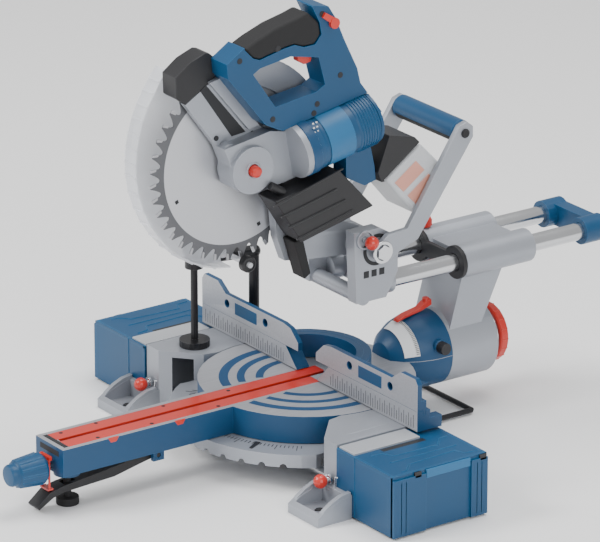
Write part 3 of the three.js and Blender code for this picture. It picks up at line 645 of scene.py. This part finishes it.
# %% Spindle button, slide lock and bevel wheel
bm = bmesh.new()
turned(bm, [(0, 0), (7.5, 0), (7.5, 12), (6.6, 15), (4.2, 17), (0, 17.5)], (34, *BLADE_AXIS),
       (52, *BLADE_AXIS), 32)
put(bm, "spindle_button", "spindle_lock_button", moulded_red, edge=0,
    replaces=("spindle_lock_button",))
bm = bmesh.new()
turned(bm, [(0, -11), (3, -11), (3, 0), (7, 0), (7.6, 2), (7.6, 10), (6, 14.5), (0, 14.5)],
       (-40, 216, 145.5), (-40, 216, 160), 32)
for i in range(8):
    a = math.radians(45 * i)
    x, y = -40 + 7.3 * math.cos(a), 216 + 7.3 * math.sin(a)
    rod(bm, (x, y, 147), (x, y, 156), 1.1, 1.1, 8)
put(bm, "slide_lock_grip", "slide_lock_knob", moulded_red, edge=0.3,
    replaces=("slide_lock_knob",))
bm = bmesh.new()
turned(bm, [(31, 1), (33, 0), (37, 0), (39, 2), (39, 11), (37, 13), (33, 13), (31, 12)],
       (0, 281, -2), (0, 294, -2), 60, closed=True)
for i in range(18):
    a = math.radians(20 * i)
    c, s = 38.6 * math.cos(a), 38.6 * math.sin(a)
    rod(bm, (c, 282.5, -2 + s), (c, 292.5, -2 + s), 1.2, 1.2, 8)
put(bm, "bevel_wheel_rim", "bevel_lock_wheel", moulded_red, edge=0.4,
    replaces=("bevel_lock_wheel",))
bm = bmesh.new()
turned(bm, [(8.4, 0), (14, 0), (14, 14), (12, 16), (8.4, 16)], (0, 279, -2), (0, 295, -2), 36, closed=True)
for degrees in (90, 210, 330):
    a = math.radians(degrees)
    rod(bm, (12 * math.cos(a), 287, -2 + 12 * math.sin(a)), (33 * math.cos(a), 287, -2 + 33 * math.sin(a)),
        5, 4.4, 16)
put(bm, "bevel_wheel_spokes", "bevel_lock_wheel", moulded_black, edge=0.4)
print("turned knobs ready")

# %% [markdown]
# ## Motor
# The motor is a blue tube across the saw with cooling ribs round it. The end plate, a blue collar
# and a paler label band are separate pieces.

# %% Motor housing
TILT = math.radians(11)

def motor_spot(along, above=0.0, x=42.0):
    return (x, -31 + along * math.cos(TILT) - above * math.sin(TILT),
            328 + along * math.sin(TILT) + above * math.cos(TILT))

bm = bmesh.new()
turned(bm, [(31, 0), (35, 0), (35, 8), (34.2, 9), (34.2, 60), (35, 61), (35, 90), (33.6, 92), (31, 92)],
       motor_spot(0), motor_spot(92), 56, closed=True)
for along in range(64, 90, 4):
    turned(bm, [(34.8, 0), (36, 0.5), (36, 1.9), (34.8, 2.4)], motor_spot(along), motor_spot(along + 2),
           56, closed=True)
slab(bm, [(20, 312), (56, 320), (64, 285), (66, 266), (49, 262), (20, 278)], "X", 28, 56)
put(bm, "motor_tube", "head", moulded_blue, edge=0.8, replaces=("motor_housing",))
print("motor tube with", len(range(64, 90, 4)), "ribs")

# %% [markdown]
# ## Battery pack
# The pack slides up into its dock on the back of the head. Its case is pale and slightly clear, with
# two coloured panels on the face.

# %% Battery pack
bm = bmesh.new()
slab(bm, [(79, 263), (133, 301.5), (181, 252), (125, 209)], "X", -2, 60)
put(bm, "pack_shell", "battery_pack", pack_case, edge=4, rounds=4, replaces=("battery_pack",))
bm = bmesh.new()
slab(bm, [(92, 258), (125, 281), (139, 266), (106, 243)], "X", 58, 60.4)
slab(bm, [(112, 237), (145, 260), (161, 244), (128, 220)], "X", 58, 60.4)
put(bm, "pack_panels", "battery_pack", pack_panel, edge=0.6)
print("pack ready")

# %% [markdown]
# ## Table details
# The milled table has shallow concentric grooves on both sides of the arm, painted blue inside. They
# stop along the arm and run under the fence. Each is an arc outline laid on the table top.

# %% Grooves in the table
def ring_sector(inner, outer, first, last, steps, centre=(0.0, 0.0)):
    return polar_arc(outer, first, last, steps, centre) + polar_arc(inner, last, first, steps, centre)

bm = bmesh.new()
for inner, outer in ((55, 65), (79, 89), (100, 112)):
    stop = math.degrees(math.acos(32 / outer))
    slab(bm, ring_sector(inner, outer, 180, 180 + stop, 18), "Z", -0.1, 0.06)
for inner, outer in ((60, 69), (84, 93), (107, 118)):
    stop = math.degrees(math.acos(33 / outer))
    slab(bm, ring_sector(inner, outer, -stop, 0, 18), "Z", -0.1, 0.06)
put(bm, "table_grooves", "turntable", groove_blue, edge=0)

# %% Arm end, side tabs and plate screws
# Two thin dark sheets, on the arm's end face and on the table top near it, are painted shade in the recesses
# there
bm = bmesh.new()
block(bm, -21, 21, -388.25, -387.5, -12, -5)
block(bm, -24.6, 24.6, -382, -375.6, -0.2, 0.08)
put(bm, "arm_recess_painted_shade", "turntable", dark_marks_and_painted_shade, edge=0)
bm = bmesh.new()
for y in (-314, -215):
    slab(bm, [(y - 8, 0.1), (y + 8, 0.1), (y + 4, -6), (y - 4, -6)], "X", 29, 31.3)
put(bm, "arm_side_tabs", "turntable", moulded_red, edge=0.2)
bm = bmesh.new()
for x, y in ((-19, -359), (-21, -306), (-20, -206), (20, -330), (20, -250), (20, -150), (-16, -110)):
    rod(bm, (x, y, -0.1), (x, y, 0.12), 2.6, sides=16)
put(bm, "kerf_plate_screws", "turntable", dark_marks_and_painted_shade, edge=0)
print("grooves, tabs and screws")

# %% Mitre scale: ticks every two degrees and a pointer
bm = bmesh.new()
for degrees in range(-52, 53, 2):
    a = math.radians(degrees - 90)
    out = (math.cos(a), math.sin(a))
    reach = 160 if degrees % 10 == 0 else 153
    rod(bm, (146 * out[0], 146 * out[1], -36.9), (reach * out[0], reach * out[1], -36.9), 0.45, sides=6)
put(bm, "mitre_scale_ticks", "base", dark_marks_and_painted_shade, edge=0)
bm = bmesh.new()
a = math.radians(-90 + 31)
slab(bm, [polar(146, -61.4, (0, 0)), polar(168, -60.6, (0, 0)),
          polar(168, -59.4, (0, 0)), polar(146, -58.6, (0, 0))], "Z", -37, -35.8)
put(bm, "mitre_pointer", "base", moulded_black, edge=0.2)

# %% Base castings: ribs on the tower tops and painted shade in the feet's bolt holes
bm = bmesh.new()
for side in (-1, 1):
    for x, y0, y1 in ((189, -72, -10), (206, -84, -8)):
        block(bm, *sorted((side * x, side * (x + 1.2))), y0, y1, -0.2, 0.3)
    for x in (182.3, 238.6):
        slab(bm, [(-156, -76), (-148, -66), (-136, -58), (-122, -52), (-108, -50), (-108, -60), (-150, -80)],
             "X", *sorted((side * x, side * (x + 6.2))))
put(bm, "base_ribs", "base", cast_silver, edge=0.8)
# A thin dark disc on each front foot is painted shade in its bolt hole
bm = bmesh.new()
for side in (-1, 1):
    rod(bm, (side * 213, -132, -78.2), (side * 213, -132, -77.6), 5.5, sides=24)
put(bm, "foot_bolt_hole_painted_shade", "base", dark_marks_and_painted_shade, edge=0)
print("base details")

# %% Thin wire clips beside the ball knobs
bm = bmesh.new()
for side in (-1, 1):
    x = side * 199 + 11
    rod(bm, (x, -108.5, -62), (x + 5, -110, -40), 0.9, sides=10)
    rod(bm, (x, -108.5, -62), (x - 7, -112, -60), 0.9, sides=10)
    rod(bm, (x + 5, -110, -40), (x + 8, -108, -40), 0.9, sides=10)
put(bm, "lock_wire_clips", "base", bright_steel, edge=0)

# %% [markdown]
# ## Side extensions
# The extensions are ribbed boxes, open underneath. Their outer wall is stiffened by two thick
# corner pillars with a sunk panel between them, and a milled strip carries the workpiece.

# %% Side extension shells
def extension_shell(side):
    bm = bmesh.new()
    def wall(x0, x1, *rest):
        block(bm, *sorted((side * x0, side * x1)), *rest)
    wall(212, 328, -106, 37, -6.5, -3.2)
    wall(212, 328, -106, -102.5, -83, -3.2)
    wall(212, 328, 33.5, 37, -83, -3.2)
    wall(212, 215.5, -106, 37, -83, -3.2)
    wall(324.5, 328, -106, 37, -83, -3.2)
    wall(327, 331, -106, -57, -83, -8)
    wall(327, 331, 12, 37, -83, -8)
    wall(249, 250.2, -106.6, -105, -83, -3.2)
    for line in (((257, -86), (259, -70), (273, -62), (275, 2), (258, 18), (259, 28)),
                 ((320, -86), (318, -77), (305, -64), (301, 8), (315, 14), (317, 31)),
                 ((288, -80), (288, 20))):
        for (xa, ya), (xb, yb) in zip(line, line[1:]):
            rod(bm, (side * xa, ya, -3.3), (side * xb, yb, -3.3), 1.1, sides=10)
    for y in (-95, -88, 20, 27):
        wall(329.6, 331, y, y + 1.4, -80, -12)
    return bm

for side, name in ((-1, "left"), (1, "right")):
    put(extension_shell(side), f"extension_{name}_shell", f"extension_{name}", moulded_blue,
        edge=1.2, replaces=(f"extension_{name}",))
    bm = bmesh.new()
    block(bm, *sorted((side * 327.5, side * 330.4)), -56, 11, -15, -4)
    put(bm, f"extension_{name}_plate", f"extension_{name}", pale_blue, edge=0.8)
    bm = bmesh.new()
    block(bm, *sorted((side * 213.5, side * 245)), -103, -3, -4, -0.6)
    put(bm, f"extension_{name}_strip", f"extension_{name}", machined_face, edge=0.6)
    bm = bmesh.new()
    block(bm, *sorted((side * 246, side * 255)), -66, 0, -4, -3.05)
    for y in (-69, 30):
        block(bm, *sorted((side * 326, side * 331)), y - 5, y + 5, -11, -4)
    put(bm, f"extension_{name}_clips", f"extension_{name}", moulded_black, edge=0.5)
print("two side extensions")

# %% [markdown]
# ## Fence scales
# Each fence face carries a row of ruler marks along its foot, and each sliding half has two locking
# holes and a plain blue panel between them.

# %% Fence marks, panels and holes
for side, name in ((-1, "left"), (1, "right")):
    bm = bmesh.new()
    for i in range(36):
        x = 52 + 5 * i
        tall = 21 if i % 2 else 16
        block(bm, *sorted((side * (x - 0.4), side * (x + 0.4))), -0.12, 0.3, 4, tall)
    put(bm, f"fence_marks_{name}", "base", dark_marks_and_painted_shade, edge=0)
    bm = bmesh.new()
    block(bm, *sorted((side * 111, side * 160)), -0.35, 0.3, 34, 50)
    put(bm, f"fence_panel_{name}", f"sliding_fence_{name}", moulded_blue, edge=0.6)
    bm = bmesh.new()
    for x in (92, 178):
        turned(bm, [(5.6, 0), (4.6, 0.5), (4.6, 6), (0, 6)], (side * x, -0.1, 43.5), (side * x, 7, 43.5), 32)
    put(bm, f"fence_hole_liners_{name}", f"sliding_fence_{name}", groove_blue, edge=0)
print("fence marks and panels")

# %% [markdown]
# ## Bevel hub
# The bevel scale is a pale curved label on the cone of the hub. It is a strip of the cone's own
# profile, lifted a little and spun through part of a turn, with fine marks across it.

# %% Bevel scale, pointer and stop
def hub_point(radius, y, degrees, lift=0.0):
    a = math.radians(degrees)
    return ((radius + lift) * math.cos(a), y, -1.6 + (radius + lift) * math.sin(a))

bm = bmesh.new()
strip = [bm.verts.new(hub_point(r, y, 12)) for r, y in ((35.2, 129), (44.6, 147), (45.2, 147), (35.8, 128.6))]
ring = [bm.edges.new((strip[i], strip[(i + 1) % 4])) for i in range(4)]
bmesh.ops.contextual_create(bm, geom=ring)
bmesh.ops.spin(bm, geom=strip + ring + list(bm.faces), cent=(0, 0, -1.6), axis=(0, -1, 0),
               angle=math.radians(96), steps=32)
put(bm, "bevel_scale_label", "turntable", pale_label, edge=0)
bm = bmesh.new()
for degrees in range(16, 107, 3):
    near = (42.6, 142.6) if degrees % 15 else (38.8, 135.6)
    rod(bm, hub_point(near[0], near[1], degrees, 0.9), hub_point(44.6, 146.4, degrees, 0.9), 0.35, sides=6)
put(bm, "bevel_scale_marks", "turntable", dark_marks_and_painted_shade, edge=0)
bm = bmesh.new()
slab(bm, [(139, 43), (141, 46.5), (152, 51), (174, 55), (184, 62), (193, 64), (193.5, 56),
          (186, 53.5), (176, 50.5), (152, 46.5)], "X", -5, 5)
rod(bm, (0, 187, 58), (0, 187, 66), 4.6, sides=24)
put(bm, "bevel_pointer_arm", "bevel_arm", moulded_red, edge=0.7, replaces=("bevel_pointer",))
bm = bmesh.new()
turned(bm, [(0, 0), (9, 0), (9, 9), (7.5, 10.5), (0, 10.5)], (39.5, 175, 16), (50, 175, 16), 24)
put(bm, "bevel_stop_boss", "turntable", painted_blue, edge=0.3)
bm = bmesh.new()
turned(bm, [(82, 1.4), (83, 12), (80, 24), (76, 31), (72, 33.2), (69, 32.4), (66.5, 29), (65, 14), (65, 1.4)],
       (0, 0, 0), (0, 0, 30), 72, closed=True)
cut = bmesh.ops.bisect_plane(bm, geom=list(bm.verts) + list(bm.edges) + list(bm.faces), plane_co=(0, 14, 0),
                             plane_no=(0, -1, 0), clear_outer=True)
bmesh.ops.holes_fill(bm, edges=[e for e in cut["geom_cut"] if isinstance(e, bmesh.types.BMEdge)])
put(bm, "fence_rear_arch", "base", painted_blue, edge=0)
print("bevel hub dressed")

# %% [markdown]
# ## Gear case and motor details
# The gear case is a machined casting with raised silver strips, painted shade along the step
# between them, a round boss for the spindle button and a plate behind the motor. Every raised part
# is a slab standing slightly proud of the case wall.

# %% Strips and bosses on the gear case
bm = bmesh.new()
slab(bm, [(-161, 427), (-146, 431), (-87, 359), (-103, 356)], "X", 15.4, 22)
slab(bm, [(-90, 328), (-64, 332), (-23, 276), (-51, 273), (-71, 300)], "X", 15.4, 24)
turned(bm, [(12, 0), (29, 0), (30.7, 1.6), (30.7, 12), (29, 14), (24, 14), (23, 11), (12, 11)],
       (20.5, *BLADE_AXIS), (34.5, *BLADE_AXIS), 56, closed=True)
turned(bm, [(8.2, 0), (11.4, 0), (11.4, 8), (10.6, 9), (8.2, 9)], (32, *BLADE_AXIS), (41, *BLADE_AXIS), 32,
       closed=True)
turned(bm, [(0, 0), (7.5, 0), (8.5, 1), (8.5, 12), (7.5, 13.5), (0, 13.5)], (16, -136, 338),
       (29.5, -136, 338), 28)
put(bm, "gear_case_relief", "head", cast_silver, edge=0.7)
# Thin dark sheets and discs on the gear case are painted shade: along the step between the strips, in the end
# of the boss and in three screw holes
bm = bmesh.new()
slab(bm, [(-171, 417), (-163, 424), (-104, 352), (-125, 350)], "X", 15.2, 16)
rod(bm, (29.2, -136, 338), (29.8, -136, 338), 4.2, sides=20)
for y, z in ((-94, 348), (-148, 352), (-60, 280)):
    rod(bm, (15.5, y, z), (16.6, y, z), 3.4, sides=20)
put(bm, "gear_case_painted_shade", "head", dark_marks_and_painted_shade, edge=0)
bm = bmesh.new()
rod(bm, (44, -87, 286), (48, -69, 275), 5.5, sides=28)
put(bm, "screw_tube", "head", moulded_black, edge=0.8)
print("gear case dressed")

# %% Motor collar, label and slots
bm = bmesh.new()
turned(bm, [(34.6, 0), (36.9, 0.8), (36.9, 13), (34.6, 14)], motor_spot(-14), motor_spot(0), 56, closed=True)
put(bm, "motor_collar", "head", painted_blue, edge=0.3)
bm = bmesh.new()
for along in (-1, 4):
    for lift in (24, 30, 36):
        rod(bm, motor_spot(along, lift, 66), motor_spot(along + 2, lift, 67), 1.1, sides=10)
put(bm, "motor_marks", "head", pale_label, edge=0)
bm = bmesh.new()
turned(bm, [(34.9, 0), (35.3, 0.3), (35.3, 37.7), (34.9, 38)], motor_spot(14), motor_spot(52), 64,
       closed=True)
put(bm, "motor_label_band", "head", pale_blue, edge=0)
print("motor dressed")

# %% [markdown]
# ## Handle and chute details
# The handle halves are held by deep set screws with painted shade in their holes, and the chute cover has
# four ribs on its side.

# %% Handle screws, grip ribs and chute ribs
# Shallow dark cups at the handle screws are painted shade in the deep screw holes
bm = bmesh.new()
for y, z in ((-136, 458), (-79, 464), (-87, 374), (-25, 370), (-20, 381), (-13, 496), (15, 412)):
    turned(bm, [(4.8, 0), (3.6, 0.4), (3.6, 0.9), (0, 0.9)], (49.7, y, z), (50.6, y, z), 24)
put(bm, "handle_screw_well_painted_shade", "head", dark_marks_and_painted_shade, edge=0)
bm = bmesh.new()
for (y0, z0), (y1, z1) in (((-94, 264), (12, 293)), ((-82, 248), (3, 268)), ((-71, 232), (16, 251)),
                           ((-58, 214), (27, 235))):
    rod(bm, (60, y0, z0), (60, y1, z1), 1.7, sides=12)
put(bm, "chute_ribs", "head", moulded_black, edge=0)
print("handle and chute dressed")

# %% [markdown]
# ## Hinge bracket and carrying bar
# The head hinge pin ends in a hexagon outside the carrying arm, with a large washer round it. Three
# small windows lighten the bracket cheek below; they and a ring round the hinge are thin dark
# sheets of painted shade.

# %% Hinge washer, windows and bar screws
bm = bmesh.new()
turned(bm, [(10.4, 0), (14.4, 0), (15, 0.6), (15, 1.6), (14.4, 2.2), (10.4, 2.2)],
       (72.3, 65, 175), (74.5, 65, 175), 48, closed=True)
put(bm, "hinge_washer", "carriage", bright_steel, edge=0.4)
bm = bmesh.new()
# Thin dark sheets on the bracket cheek, a ring round the hinge and three windows, are painted shade in the
# openings
turned(bm, [(16, 0), (21, 0), (21, 0.3), (16, 0.3)], (60, 65, 175), (60.3, 65, 175), 48, closed=True)
for y in (49, 61, 73):
    block(bm, 60, 60.3, y - 4, y + 4, 140, 149)
put(bm, "hinge_gap_painted_shade", "carriage", dark_marks_and_painted_shade, edge=0)
bm = bmesh.new()
turned(bm, [(10.2, 0), (13, 0), (13, 3), (12.4, 3.6), (10.2, 3.6)], (59.8, 46, 192), (63.4, 46, 192), 36,
       closed=True)
put(bm, "lock_pin_boss", "carriage", cast_silver, edge=0.3)
bm = bmesh.new()
for x in (-1, 1):
    turned(bm, [(0, 0), (6, 0), (6, 2), (4.6, 3.4), (0, 3.4)], (x * 71.8, 193, 307), (x * 75.2, 193, 307), 28)
put(bm, "carrying_bar_screws", "head", black_steel, edge=0)
print("hinge and bar dressed")
